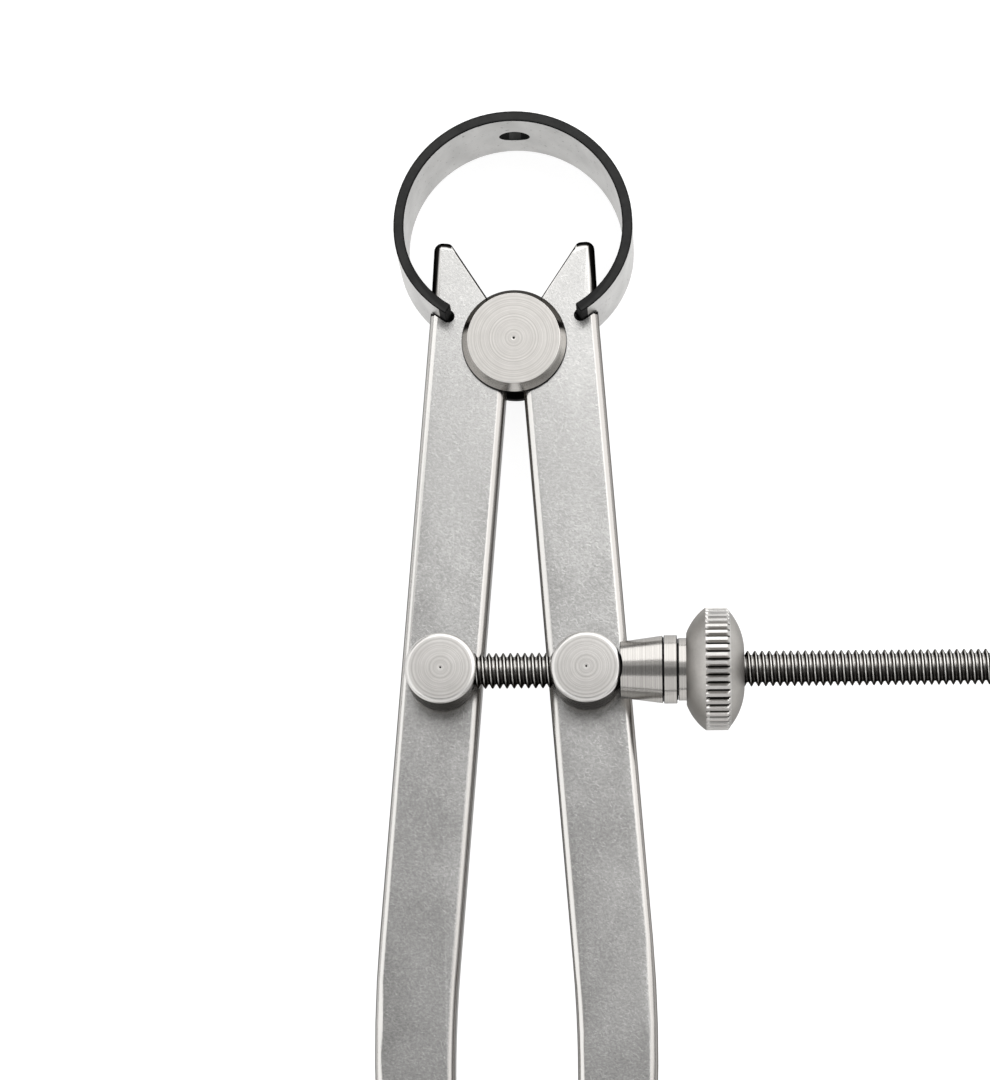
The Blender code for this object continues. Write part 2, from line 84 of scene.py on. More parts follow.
# Inputs that are sockets are linked, tones are turned to linear, and the others are set
def addNode(tree, kind, settings=None, inputs=None):
    node = tree.nodes.new(kind)
    for name, value in (settings or {}).items():
        setattr(node, name, value)
    for name, value in (inputs or {}).items():
        if isinstance(value, bpy.types.NodeSocket):
            tree.links.new(value, node.inputs[name])
        else:
            node.inputs[name].default_value = linear(value) if isinstance(value, str) else value
    return node


# The glancing share is how bright the metal is where it is seen edge on: oil and wear dull it there
def newFinish(name, roughness, metallic=1.0, glancing=1.0):
    material = bpy.data.materials.new(name)
    material.use_nodes = True
    tree = material.node_tree
    shader = tree.nodes["Principled BSDF"]
    shader.inputs["Roughness"].default_value = roughness
    shader.inputs["Metallic"].default_value = metallic
    shader.inputs["Specular Tint"].default_value = (glancing, glancing, glancing, 1.0)
    return material, tree, shader


# Distance from a centre in mm, in units of a size in mm along each axis
def distanceFrom(tree, centre, size):
    place = addNode(tree, "ShaderNodeTexCoord").outputs["Object"]
    mapped = addNode(tree, "ShaderNodeMapping", {"vector_type": "TEXTURE"},
                     {"Vector": place, "Location": [length * mm for length in centre],
                      "Scale": [length * mm for length in size]})
    return addNode(tree, "ShaderNodeVectorMath", {"operation": "LENGTH"},
                   {0: mapped.outputs[0]}).outputs["Value"]


# Noise cells of a size in mm along each axis, cut to 0..1 between two levels of the noise
def cells(tree, size, low, high, turn=0.0, detail=2.0):
    place = addNode(tree, "ShaderNodeTexCoord").outputs["Object"]
    mapped = addNode(tree, "ShaderNodeMapping", {"vector_type": "TEXTURE"},
                     {"Vector": place, "Rotation": (0.0, 0.0, math.radians(turn)),
                      "Scale": [length * mm for length in size]})
    noise = addNode(tree, "ShaderNodeTexNoise", None,
                    {"Vector": mapped.outputs[0], "Scale": 1.0, "Detail": detail})
    return addNode(tree, "ShaderNodeMapRange", None,
                   {"Value": noise.outputs[0], "From Min": low, "From Max": high}).outputs[0]


# Lines left by a lathe: noise that changes only with the distance from a centre
def turningLines(tree, centre, size, low, high, detail=3.0):
    noise = addNode(tree, "ShaderNodeTexNoise", {"noise_dimensions": "1D"},
                    {"W": distanceFrom(tree, centre, size), "Scale": 1.0, "Detail": detail})
    return addNode(tree, "ShaderNodeMapRange", None,
                   {"Value": noise.outputs[0], "From Min": low, "From Max": high}).outputs[0]


# 0 to 1 as a value goes away from a middle to either side
def awayFrom(tree, value, middle, low, high):
    offset = addNode(tree, "ShaderNodeMath", {"operation": "SUBTRACT"}, {0: value, 1: middle})
    away = addNode(tree, "ShaderNodeMath", {"operation": "ABSOLUTE"}, {0: offset.outputs[0]})
    return addNode(tree, "ShaderNodeMapRange", None,
                   {"Value": away.outputs[0], "From Min": low, "From Max": high}).outputs[0]


# Two patterns added, each with its share
def blended(tree, first, firstShare, second, secondShare):
    part = addNode(tree, "ShaderNodeMath", {"operation": "MULTIPLY"}, {0: second, 1: secondShare})
    return addNode(tree, "ShaderNodeMath", {"operation": "MULTIPLY_ADD"},
                   {0: first, 1: firstShare, 2: part.outputs[0]}).outputs[0]


# A pattern held back by others, or by a number
def masked(tree, pattern, *shares):
    for share in shares:
        pattern = addNode(tree, "ShaderNodeMath", {"operation": "MULTIPLY"},
                          {0: pattern, 1: share}).outputs[0]
    return pattern


# Coats over a base tone: each is a pattern and the tone that shows where it is 1
def coated(tree, base, *coats):
    for pattern, tone in coats:
        base = addNode(tree, "ShaderNodeMix", {"data_type": "RGBA"},
                       {0: pattern, 6: base, 7: tone}).outputs[2]
    return base


# 1 where a face looks straight out of the caliper's front or back, 0 where it is a side
def facing(tree, low, high):
    normal = addNode(tree, "ShaderNodeTexCoord").outputs["Normal"]
    lean = addNode(tree, "ShaderNodeSeparateXYZ", None, {"Vector": normal}).outputs["Z"]
    return awayFrom(tree, lean, 0.0, low, high)


# 0 to 1 as a face turns towards a direction
def turnedTo(tree, direction, low, high):
    normal = addNode(tree, "ShaderNodeTexCoord").outputs["Normal"]
    lean = addNode(tree, "ShaderNodeVectorMath", {"operation": "DOT_PRODUCT"}, {0: normal, 1: direction})
    return addNode(tree, "ShaderNodeMapRange", None,
                   {"Value": lean.outputs["Value"], "From Min": low, "From Max": high}).outputs[0]


# Thin curved rubs of a size in mm: where a noise crosses its middle, broken up by a second noise
def curvedRubs(tree, size, turn):
    across = cells(tree, (size, size, size), 0.0, 1.0, turn=turn, detail=1.0)
    thin = awayFrom(tree, across, 0.5, ground["rubReach"], 0.0)
    return masked(tree, thin, cells(tree, (size, size, size), 0.50, 0.62, turn=turn + 50.0))


# A finish's colour, and its relief of a depth in mm
def laySurface(tree, shader, colour, relief, depth):
    tree.links.new(colour, shader.inputs["Base Color"])
    bump = addNode(tree, "ShaderNodeBump", None, {"Height": relief, "Distance": depth * mm})
    tree.links.new(bump.outputs[0], shader.inputs["Normal"])


# Hardened tool steel, surface ground, then rubbed by use: a soft grey mirror with short curved rubs.
# The roundings are rubbed bright and painted darker as shade on the screw's side; within the edgeLean of their
# slope they fall to the edge tone, which is painted shade, and they end at the plain side walls.
ground = {
    "glancing": 0.30,
    "grain": 0.25,            # mm
    "cloud": (6.0, 9.0, 6.0),
    "cloudShare": 0.45,
    # real rubs are near 0.02 mm wide; these are near 0.1 mm so that they show
    "rubs": ((0.0, 0.9), (65.0, 1.3), (130.0, 0.6)),
    "rubReach": 0.035,
    "rubShare": 0.28,
    "held": (-16.0, -27.0),   # below the fulcrum, where the legs are held, the wear is more uneven
    "unheldShare": 0.50,
    "roundingGloss": 0.24,
    "depth": 0.008,
}


def groundSteel(name, tones, roughness, edgeLean):
    material, tree, shader = newFinish(name, roughness, glancing=ground["glancing"])
    flat = facing(tree, 0.990, 0.998)
    front = facing(tree, *edgeLean)
    wall = facing(tree, 0.10, 0.03)
    screwSideShade = turnedTo(tree, screwwards, 0.08, 0.35)
    grain = cells(tree, [ground["grain"]] * 3, 0.30, 0.70, detail=4.0)
    cloud = cells(tree, ground["cloud"], 0.35, 0.65)
    place = addNode(tree, "ShaderNodeTexCoord").outputs["Object"]
    along = addNode(tree, "ShaderNodeSeparateXYZ", None, {"Vector": place}).outputs["Y"]
    held = addNode(tree, "ShaderNodeMapRange", None,
                   {"Value": along, "From Min": ground["held"][0] * mm, "From Max": ground["held"][1] * mm,
                    "To Min": ground["unheldShare"]}).outputs[0]
    wear = blended(tree, cloud, ground["cloudShare"], grain, 1.0 - ground["cloudShare"])
    wear = addNode(tree, "ShaderNodeMix", None, {0: held, 2: 0.5, 3: wear}).outputs[0]
    lines = 0.0
    for turn, size in ground["rubs"]:
        lines = addNode(tree, "ShaderNodeMath", {"operation": "MAXIMUM"},
                        {0: lines, 1: curvedRubs(tree, size, turn)}).outputs[0]
    rubs = masked(tree, lines, flat, ground["rubShare"])
    steel = coated(tree, tones["dark"], (wear, tones["light"]), (rubs, tones["scratch"]))
    # Painted shade: roundings and edges that face the screw take darker tones, and a rounding's steep outer
    # part takes the dark edge tone
    rounding = coated(tree, tones["rounding"], (screwSideShade, tones["shadedRounding"]))
    edge = coated(tree, tones["edge"], (screwSideShade, tones["shadedEdge"]))
    colour = coated(tree, edge, (front, rounding), (flat, steel), (wall, tones["wall"]))
    relief = masked(tree, blended(tree, grain, 0.5, lines, 0.5), flat, held)
    laySurface(tree, shader, colour, relief, ground["depth"])
    gloss = addNode(tree, "ShaderNodeMapRange", None,
                    {"Value": flat, "To Min": ground["roundingGloss"], "To Max": roughness})
    tree.links.new(gloss.outputs[0], shader.inputs["Roughness"])
    return material


# A side that faces a direction is painted darker: painted shade on the knob's land, a painted dark reflection
# on the stud's bevel
def paintedDarkTowards(tree, colour, paintedDarkening):
    if not paintedDarkening:
        return colour
    direction, low, high, tone = paintedDarkening
    return coated(tree, colour, (turnedTo(tree, direction, low, high), tone))


# Lathe-turned steel: rings round the axis that catch the light
def turnedSteel(name, dark, light, roughness, centre, size, depth, glancing=0.4, paintedDarkening=None):
    material, tree, shader = newFinish(name, roughness, glancing=glancing)
    coarse = turningLines(tree, centre, size, 0.36, 0.64, detail=1.0)
    fine = turningLines(tree, centre, [length / 3 for length in size], 0.34, 0.66)
    blend = blended(tree, fine, 0.45, coarse, 0.55)
    stain = masked(tree, cells(tree, (1.5, 1.5, 1.5), 0.35, 0.70), 0.30)
    colour = coated(tree, dark, (blend, light), (stain, dark))
    laySurface(tree, shader, paintedDarkTowards(tree, colour, paintedDarkening), blend, depth)
    gloss = addNode(tree, "ShaderNodeMapRange", None,
                    {"Value": fine, "To Min": roughness - 0.05, "To Max": roughness + 0.05})
    tree.links.new(gloss.outputs[0], shader.inputs["Roughness"])
    return material


# Rolled spring strip, satin, a little warm, with small dark specks
def satinStrip():
    material, tree, shader = newFinish("satinSpringStrip", 0.36)
    cloud = cells(tree, (3.0, 3.0, 5.0), 0.30, 0.70, detail=3.0)
    specks = masked(tree, cells(tree, (0.45, 0.45, 0.45), 0.68, 0.74, detail=1.0), 0.7)
    rolled = cells(tree, (1.6, 1.6, 0.08), 0.30, 0.70, detail=3.0)
    colour = coated(tree, "#A3A2A0", (cloud, "#B7B6B4"), (specks, "#666461"))
    laySurface(tree, shader, colour, rolled, 0.002)
    return material


# Heat-blackened sheared edge: charcoal oxide, matt and slightly uneven; the same finish is also painted black
# as shade
def blackenedSteel(name, dark, light, roughness, sheen, border=None):
    material, tree, shader = newFinish(name, roughness, 0.0)
    shader.inputs["Specular IOR Level"].default_value = sheen
    scale = cells(tree, (0.5, 0.5, 0.5), 0.32, 0.68, detail=4.0)
    cloud = cells(tree, (2.5, 2.5, 2.5), 0.34, 0.66)
    colour = coated(tree, dark, (blended(tree, cloud, 0.6, scale, 0.4), light))
    if border:
        # the distance from the strip's middle line, as a share of the bow's size
        reach = distanceFrom(tree, (0.0, bow["centreY"], 0.0), (bow["halfWidth"], bow["halfHeight"], farAway))
        rim = masked(tree, awayFrom(tree, reach, 1.0, *border), bow["rimShare"])
        colour = coated(tree, colour, (rim, bow["blackRim"]))
    laySurface(tree, shader, colour, scale, 0.006)
    return material


# Bead-blasted steel: matt pale grey, dimpled by 0.1 mm glass beads, with its sides painted darker as shade
def beadBlastedSteel(name, dark, light, side, roughness, glancing=0.7, paintedDarkening=None):
    material, tree, shader = newFinish(name, roughness, glancing=glancing)
    dimples = cells(tree, (0.12, 0.12, 0.12), 0.34, 0.66)
    cloud = cells(tree, (2.2, 2.2, 2.2), 0.34, 0.66)
    steel = coated(tree, dark, (blended(tree, cloud, 0.5, dimples, 0.5), light))
    # The sides are painted darker than the faces that look up: painted shade
    colour = coated(tree, side, (facing(tree, 0.05, 0.65), steel))
    laySurface(tree, shader, paintedDarkTowards(tree, colour, paintedDarkening), dimples, 0.006)
    return material


# Oiled rolled thread, its light painted: its round roots are a painted highlight, its crests are painted bright
# where they face up, its flanks are dark as painted shade, and the side towards the feet is painted darker
# still as shade.
threadTones = {
    "rootHighlight": "#CFCDCA",
    "flanks": ("#4A4845", "#605D59"),
    "paintedDarkening": "#3A3836",
    "crestHighlight": "#D6D4D0",
    "rootRadius": (1.66, 1.57),
    "crestRadius": (1.86, 1.94),
    "paintedDarkWay": (0.0, -0.94, 0.35),
    "highlightWay": (0.0, 0.10, 0.99),
}


def threadSteel():
    material, tree, shader = newFinish("threadSteelWithPaintedLight", 0.20, glancing=0.3)
    distance = distanceFrom(tree, (0.0, axes["leftPost"][1], axes["screwHeight"]), (farAway, 1.0, 1.0))
    crest, root = [addNode(tree, "ShaderNodeMapRange", None,
                           {"Value": distance, "From Min": start, "From Max": end}).outputs[0]
                   for start, end in (threadTones["crestRadius"], threadTones["rootRadius"])]
    grime = cells(tree, (0.8, 0.6, 0.6), 0.35, 0.65)
    # Painted shade on the side towards the feet, and a painted highlight on crests that face up
    paintedDarkening = turnedTo(tree, threadTones["paintedDarkWay"], 0.20, 0.70)
    crestWearAndHighlight = masked(tree, crest, turnedTo(tree, threadTones["highlightWay"], 0.35, 0.90))
    dark, light = threadTones["flanks"]
    colour = coated(tree, dark, (grime, light), (root, threadTones["rootHighlight"]),
                    (paintedDarkening, threadTones["paintedDarkening"]), (crestWearAndHighlight, threadTones["crestHighlight"]))
    tree.links.new(colour, shader.inputs["Base Color"])
    return material


# Painted shade: the edge tone on the roundings' steep outer part, and the two darker tones for the screw's side
legTones = {"dark": "#B0AFAD", "light": "#DBDAD8", "scratch": "#EAE9E7", "rounding": "#CECCC9",
            "shadedRounding": "#9E9B98", "edge": "#3C3A38", "shadedEdge": "#8A8784", "wall": "#B5B2AE"}
# On the horns and the cleft, roundings and walls are painted near black: a painted dark reflection
hornTones = {**legTones, "edge": "#1A1918", "shadedEdge": "#1A1918", "wall": "#1A1918"}
finishes = {
    "legGround": groundSteel("groundLegSteel", legTones, 0.25, (0.20, 0.82)),
    "hornEdgeReflection": groundSteel("darkReflectionHornEdge", hornTones, 0.29, (0.93, 0.985)),
    "cleftEdgeReflection": groundSteel("darkReflectionCleftEdge", hornTones, 0.29, (0.93, 0.985)),
    "strip": satinStrip(),
    "stripEdge": blackenedSteel("blackenedEdge", "#121212", "#242423", 0.45, 0.22, border=(0.022, 0.038)),
    # Black oxide on the strip's corners; the same finish is painted black as shade in holes, notches, gaps and
    # hollows
    "blackOxideAndShade": blackenedSteel("blackenedCornerAndPaintedShade", "#080808", "#101010", 0.70, 0.10),
    "studFace": turnedSteel("facedStudSteel", "#AEABA7", "#D3D0CC", 0.34,
                            (0.0, 0.0, 0.0), (0.17, 0.17, farAway), 0.003),
    # The bevel's faces towards the bow are painted darker: a painted reflection of the black bow
    "studBevel": turnedSteel("turnedStudBevel", "#B6B3AF", "#C8C5C1", 0.22, (0.0, 0.0, 0.0),
                             (0.15, 0.15, 0.15), 0.001, 0.25, paintedDarkening=(bowwards, 0.10, 0.20, "#72706D")),
    "barrel": turnedSteel("turnedBarrelSteel", "#A9A6A2", "#BFBCB8", 0.18, (0.0, 0.0, 0.0),
                          (0.20, farAway, farAway), 0.001, 0.6),
    "blasted": beadBlastedSteel("beadBlastedSteel", "#AEABA7", "#C3C0BC", "#7D7A76", 0.46),
    # The land is painted darker on the feet's side: painted shade
    "land": beadBlastedSteel("rubbedLandSteel", "#C4C2BF", "#D7D5D2", "#64615D", 0.34,
                             paintedDarkening=(feetwards, 0.30, 0.80, "#A8A5A2")),
    # The flutes' sunk faces are painted dark as shade, darker still towards the feet's side
    "fluteShade": beadBlastedSteel("shadedFluteSteel", "#73716E", "#878581", "#5C5A57", 0.40, 0.4),
    "deepFluteShade": beadBlastedSteel("deepShadedFluteSteel", "#454340", "#585653", "#383633", 0.40, 0.25),
    "thread": threadSteel(),
    # The post's rounded rim is painted brighter than its face: a painted highlight
    "postRim": turnedSteel("postRimWearAndHighlight", "#C4C2BF", "#D9D7D4", 0.30, (0.0, 0.0, 0.0),
                           (farAway, farAway, 0.30), 0.001),
}
for side in ("leftPost", "rightPost"):
    x, y = axes[side]
    finishes[side + "Face"] = turnedSteel(side + "FaceSteel", "#A9A6A3", "#CDCBC8", 0.54,
                                          (x, y, 0.0), (0.22, 0.22, farAway), 0.009)
    # The post's side is painted darker than its face: painted shade
    finishes[side + "Side"] = turnedSteel(side + "SideSteel", "#8A8783", "#9B9895", 0.26,
                                          (0.0, 0.0, 0.0), (farAway, farAway, 0.30), 0.001, 0.30)
print("finishes made:", len(finishes))


# Shared steps for pieces

turned = {
    "sharp": 30,             # degrees between two faces from which their edge stays sharp
    "roundedBeyond": 0.5,    # corners nearer the axis than this, in mm, aren't rounded
    "roundingSegments": 3,
    "merge": 1e-4,
    "level": 1e-5,           # the most that one ring's points differ in height
}


# Faces are smooth, and edges that turn more than the limit stay sharp
def shade(bm, limit):
    for face in bm.faces:
        face.smooth = True
    for edge in bm.edges:
        edge.smooth = len(edge.link_faces) == 2 and edge.calc_face_angle(0.0) < math.radians(limit)


# Each face gets the finish that a function names for it
def paint(bm, materials, pick):
    for face in bm.faces:
        face.material_index = materials.index(pick(face))


def addPiece(name, mesh, materials):
    piece = bpy.data.objects.new(name, mesh)
    bpy.context.scene.collection.objects.link(piece)
    for finish in materials:
        mesh.materials.append(finishes[finish])
    return piece


# Large faces keep flat shading right up to their roundings
def keepFlats(piece):
    normals = piece.modifiers.new("flat faces", "WEIGHTED_NORMAL")
    normals.keep_sharp = True
    normals.weight = 100


# A merged copy of a CAD node's mesh
def dressNode(node, name, materials, pick, limit=35):
    bm = bmesh.new()
    bm.from_mesh(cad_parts[node].data)
    bmesh.ops.remove_doubles(bm, verts=bm.verts, dist=1e-6)
    paint(bm, materials, pick)
    shade(bm, limit)
    mesh = bpy.data.meshes.new(name)
    bm.to_mesh(mesh)
    bm.free()
    piece = addPiece(name, mesh, materials)
    keepFlats(piece)
    return piece


# A profile of (radius, place) in mm turned about Z, with the corners between its rings rounded
def turn(profile, steps, rounding):
    bm = bmesh.new()
    points = [bm.verts.new((radius, 0.0, place)) for radius, place in profile]
    lines = [bm.edges.new(pair) for pair in zip(points, points[1:])]
    bmesh.ops.spin(bm, geom=points + lines, axis=(0, 0, 1), cent=(0, 0, 0),
                   angle=2 * math.pi, steps=steps, use_merge=True)
    bmesh.ops.remove_doubles(bm, verts=bm.verts, dist=turned["merge"])
    bmesh.ops.recalc_face_normals(bm, faces=bm.faces)
    corners = [edge for edge in bm.edges if len(edge.link_faces) == 2
               and abs(edge.verts[0].co.z - edge.verts[1].co.z) < turned["level"]
               and edge.calc_face_angle(0.0) > math.radians(turned["sharp"])
               and edge.verts[0].co.xy.length > turned["roundedBeyond"]]
    if rounding:
        bmesh.ops.bevel(bm, geom=corners, offset=rounding, offset_type="OFFSET",
                        segments=turned["roundingSegments"], profile=0.5, affect="EDGES", material=-1,
                        clamp_overlap=True)
    return bm


def toMesh(bm, name, limit=turned["sharp"]):
    bmesh.ops.scale(bm, verts=bm.verts, vec=(mm, mm, mm))
    shade(bm, limit)
    mesh = bpy.data.meshes.new(name)
    bm.to_mesh(mesh)
    bm.free()
    return mesh


# Shades a mesh again after drills have changed it
def shadeMesh(mesh, limit):
    bm = bmesh.new()
    bm.from_mesh(mesh)
    shade(bm, limit)
    bm.to_mesh(mesh)
    bm.free()


# Local Z turned to point along the screw, from a place on it
def layAlongScrew(bm, postX):
    bmesh.ops.rotate(bm, verts=bm.verts, cent=(0, 0, 0), matrix=Matrix.Rotation(math.pi / 2, 3, "Y"))
    bmesh.ops.translate(bm, verts=bm.verts, vec=(postX, axes["leftPost"][1], axes["screwHeight"]))


def bowOffset(point):
    return math.hypot(point.x / (bow["halfWidth"] * mm),
                      (point.y - bow["centreY"] * mm) / (bow["halfHeight"] * mm)) - 1


# Legs: flat ground faces, rubbed roundings, horn edges painted near black as a dark reflection, notch walls
# painted black as shade

leg = {
    "finishes": ("legGround", "hornEdgeReflection", "blackOxideAndShade", "cleftEdgeReflection"),
    "flat": 0.99,
    "wall": 0.5,
    "notchOffset": 0.075,    # a share of the bow's size
    "notchTop": 6.0,
    "hornBottom": 3.2,
    "hornEdgeX": 7.9,
}


def legFinish(face):
    middle = face.calc_center_median()
    lean = abs(face.normal.z)
    atNotch = abs(bowOffset(middle)) < leg["notchOffset"] and middle.y < leg["notchTop"] * mm
    # Notch walls are painted black: painted shade inside the notch
    if lean < leg["wall"] and atNotch and middle.y > 0:
        return "blackOxideAndShade"
    if lean > leg["flat"] or middle.y < leg["hornBottom"] * mm:
        return "legGround"
    return "hornEdgeReflection" if abs(middle.x) > leg["hornEdgeX"] * mm else "cleftEdgeReflection"


for side in ("left", "right"):
    piece = dressNode(side + "_leg", side + "LegGround", leg["finishes"], legFinish)
    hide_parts(side + "_leg")
    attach(piece, side + "_leg")
print("legs dressed")


# Bow spring: satin strip with blackened edges and corners, black near its ends, and a hole wall painted black
# as shade

def bowFinish(face):
    lean = abs(face.normal.z)
    middle = face.calc_center_median()
    outwards = Vector((middle.x, middle.y - bow["centreY"] * mm, 0.0)).normalized()
    atHole = abs(middle.x) < bow["holeReach"] * mm and middle.y > bow["centreY"] * mm
    fromGap = math.degrees(math.atan2(abs(middle.x) / bow["halfWidth"],
                                      (bow["centreY"] * mm - middle.y) / bow["halfHeight"]))
    if lean > bow["edge"]:
        return "stripEdge"
    # The hole's wall is painted black: painted shade inside the hole
    if atHole and abs(face.normal.dot(outwards)) < bow["wallTurn"]:
        return "blackOxideAndShade"
    return "blackOxideAndShade" if fromGap < bow["blackEnd"] or lean > bow["corner"] else "strip"


piece = dressNode("bow_spring", "bowSpringStrip", ("strip", "stripEdge", "blackOxideAndShade"), bowFinish)
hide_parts("bow_spring")
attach(piece, "bow")
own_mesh(piece)
print("bow spring dressed")


# Fulcrum stud: faced head with a centre mark, cone-shaped bevel, groove and rear flange

stud = {
    "finishes": ("studFace", "studBevel", "blackOxideAndShade"),
    "profile": [(0.0, -0.06), (0.14, -0.015), (0.30, 0.0), (0.33, 0.0), (5.27, 0.0), (5.912, -1.41),
                (6.0, -1.6), (3.45, -1.6), (3.45, -7.2), (5.5, -7.2), (5.5, -8.15), (5.2, -8.45),
                (0.0, -8.45)],
    "steps": 144,
    "rounding": 0.07,
    "faceLean": 0.9,
    "shadeFrom": -1.42,    # below this the bevel's foot, the groove and the rear flange are painted black as shade
    "mark": 0.14,
}


def studFinish(face):
    middle = face.calc_center_median()
    # Painted shade: below that height, and in the centre mark's dimple, the stud is painted black
    if middle.z < stud["shadeFrom"] or middle.xy.length < stud["mark"]:
        return "blackOxideAndShade"
    return "studFace" if abs(face.normal.z) > stud["faceLean"] else "studBevel"


bm = turn(stud["profile"], stud["steps"], stud["rounding"])
paint(bm, stud["finishes"], studFinish)
piece = addPiece("fulcrumStudTurned", toMesh(bm, "fulcrumStudTurned"), stud["finishes"])
keepFlats(piece)
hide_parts("fulcrum_stud")
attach(piece, "fulcrum")
print("fulcrum stud turned")


# Swivel posts: faced tops with a centre mark, bored for the screw

post = {
    # (radius, height above the leg's front face)
    "profile": [(0.0, 6.10), (0.12, 6.17), (0.24, 6.2), (0.27, 6.2), (3.50, 6.2), (3.55, 6.19),
                (3.71, 6.13), (3.85, 6.03), (3.95, 5.90), (4.0, 5.74), (4.0, 1.31),
                (3.79, 1.1), (2.9, 1.1), (2.9, 0.3), (2.1, 0.3), (2.1, -6.05), (2.75, -6.05),
                (2.34, -6.40), (1.38, -6.55), (0.0, -6.55)],
    "steps": 120,
    "rounding": 0.06,
    "bore": 2.15,
    "blindDepth": 3.05,
    "drillReach": 8.0,
    "faceLean": 0.995,
    "rimLean": 0.15,
    "mark": 0.12,
    "boreSteps": 64,
}


# Drills are turned pieces too: cut from a piece, then thrown away
def drill(piece, bm):
    cutter = bpy.data.objects.new("drill", toMesh(bm, "drill"))
    bpy.context.scene.collection.objects.link(cutter)
    cut = piece.modifiers.new("bore", "BOOLEAN")
    cut.operation = "DIFFERENCE"
    cut.solver = "EXACT"
    cut.object = cutter
    bpy.context.view_layer.update()
    bored = bpy.data.meshes.new_from_object(piece.evaluated_get(bpy.context.evaluated_depsgraph_get()))
    piece.modifiers.clear()
    piece.data = bored
    bpy.data.objects.remove(cutter, do_unlink=True)
    shadeMesh(piece.data, turned["sharp"])


def postFinish(face):
    lean, reach = face.normal.z, face.calc_center_median().xy.length
    # The centre mark's dimple is painted black: painted shade
    if reach < post["mark"]:
        return "blackOxideAndShade"
    if lean > post["faceLean"] or (lean > post["rimLean"] and reach < post["bore"]):
        return side + "PostFace"
    return "postRim" if lean > post["rimLean"] else side + "PostSide"


for side, body in (("left", "screw"), ("right", "right_post")):
    postX, postY = axes[side + "Post"]
    bm = turn(post["profile"], post["steps"], post["rounding"])
    materials = (side + "PostFace", side + "PostSide", "blackOxideAndShade", "postRim")
    paint(bm, materials, postFinish)
    bmesh.ops.translate(bm, verts=bm.verts, vec=(postX, postY, axes["legFront"]))
    piece = addPiece(side + "PostTurned", toMesh(bm, side + "PostTurned"), materials)
    reach = post["drillReach"]
    start = -post["blindDepth"] if side == "left" else -reach
    bm = turn([(0, reach), (post["bore"], reach), (post["bore"], start), (0, start)], post["boreSteps"], 0.0)
    layAlongScrew(bm, postX)
    drill(piece, bm)
    keepFlats(piece)
    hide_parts(side + "_post")
    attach(piece, body)
print("swivel posts turned")


# Washers behind the legs

for side, body in (("left", "screw"), ("right", "right_post")):
    finish = side + "PostSide"
    piece = dressNode(side + "_post_washer", side + "PostWasherTurned", (finish,), lambda face: finish)
    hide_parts(side + "_post_washer")
    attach(piece, body)


# Adjusting screw: a real 4 x 0.8 right-hand helix

screw = {
    # one pitch of the thread as (radius, place), from root to root
    "tooth": [(1.52, 0.0), (1.53, 0.05), (1.56, 0.09), (1.61, 0.125), (1.88, 0.275), (1.95, 0.32),
              (1.99, 0.365), (2.0, 0.4), (1.99, 0.435), (1.95, 0.48), (1.88, 0.525), (1.61, 0.675),
              (1.56, 0.71), (1.53, 0.75), (1.52, 0.8)],
    "pitch": 0.8,
    "stepsPerTurn": 40,
    "start": -11.005,
    "end": 57.994,
    "chamfer": 0.5,
    "radius": 2.0,
    "sharp": 50,
}
turns = math.ceil((screw["end"] - screw["start"]) / screw["pitch"]) + 2
bm = bmesh.new()
points = [bm.verts.new((radius, 0.0, place)) for radius, place in screw["tooth"]]
lines = [bm.edges.new(pair) for pair in zip(points, points[1:])]
bmesh.ops.spin(bm, geom=points + lines, axis=(0, 0, 1), cent=(0, 0, 0), angle=2 * math.pi,
               dvec=(0, 0, screw["pitch"] / screw["stepsPerTurn"]), steps=screw["stepsPerTurn"])
oneTurn = bm.verts[:] + bm.edges[:] + bm.faces[:]
for number in range(1, turns):
    copied = bmesh.ops.duplicate(bm, geom=oneTurn)["geom"]
    bmesh.ops.translate(bm, verts=[item for item in copied if isinstance(item, bmesh.types.BMVert)],
                        vec=(0, 0, number * screw["pitch"]))
bmesh.ops.remove_doubles(bm, verts=bm.verts, dist=turned["merge"])
# a spare turn and a half below the start, so that both ends are cut off square
bmesh.ops.translate(bm, verts=bm.verts, vec=(0, 0, -1.5 * screw["pitch"]))
length = screw["end"] - screw["start"]
for place, keepAbove in ((0.0, True), (length, False)):
    bmesh.ops.bisect_plane(bm, geom=bm.verts[:] + bm.edges[:] + bm.faces[:], plane_co=(0, 0, place),
                           plane_no=(0, 0, 1), clear_inner=keepAbove, clear_outer=not keepAbove)
    rim = [edge for edge in bm.edges if edge.is_boundary
           and all(abs(vert.co.z - place) < turned["merge"] for vert in edge.verts)]
    bmesh.ops.holes_fill(bm, edges=rim, sides=0)
for vert in bm.verts:
    allowed = screw["radius"] - screw["chamfer"] + max(0.0, length - vert.co.z)
    reach = vert.co.xy.length
    if reach > allowed:
        vert.co.xy *= allowed / reach
bmesh.ops.recalc_face_normals(bm, faces=bm.faces)
layAlongScrew(bm, screw["start"])
mesh = toMesh(bm, "adjustingScrewThread", screw["sharp"])
piece = addPiece("adjustingScrewThread", mesh, ("thread",))
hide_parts("adjusting_screw")
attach(piece, "screw")
print("screw threaded:", turns, "turns,", len(piece.data.polygons), "faces")


# Quick nut: cone and collar, each with a spigot that closes the joint behind it; their end faces, bores and
# spigots are painted black as shade. The cone's end is hollowed to sit round the post, and that hollow is
# painted black as shade too.

